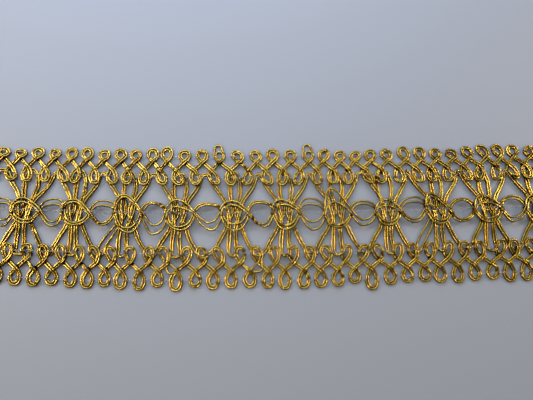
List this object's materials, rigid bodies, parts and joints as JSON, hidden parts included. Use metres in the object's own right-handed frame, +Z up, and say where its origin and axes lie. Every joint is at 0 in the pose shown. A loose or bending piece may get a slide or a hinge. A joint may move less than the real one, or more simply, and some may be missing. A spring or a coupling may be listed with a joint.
{
  "type": "metallic lace trim",
  "caption": "Flat openwork braid trim of doubled metallic yarn, with looped edges and a chain of rings that gathers its legs into knots.",
  "frame": {"origin": "centre of the bounding box, on the surface that the trim lies on", "axes": "+X along the trim, +Y across it towards its upper edge in the picture, +Z up from the surface"},
  "size_m": [0.181, 0.0436, 0.0023],
  "materials": {
    "gold_yarn": "glossy metallic film wound round a thread core"
  },
  "bodies": {
    "root": {"lace_trim": "gold_yarn"}
  },
  "joints": []
}
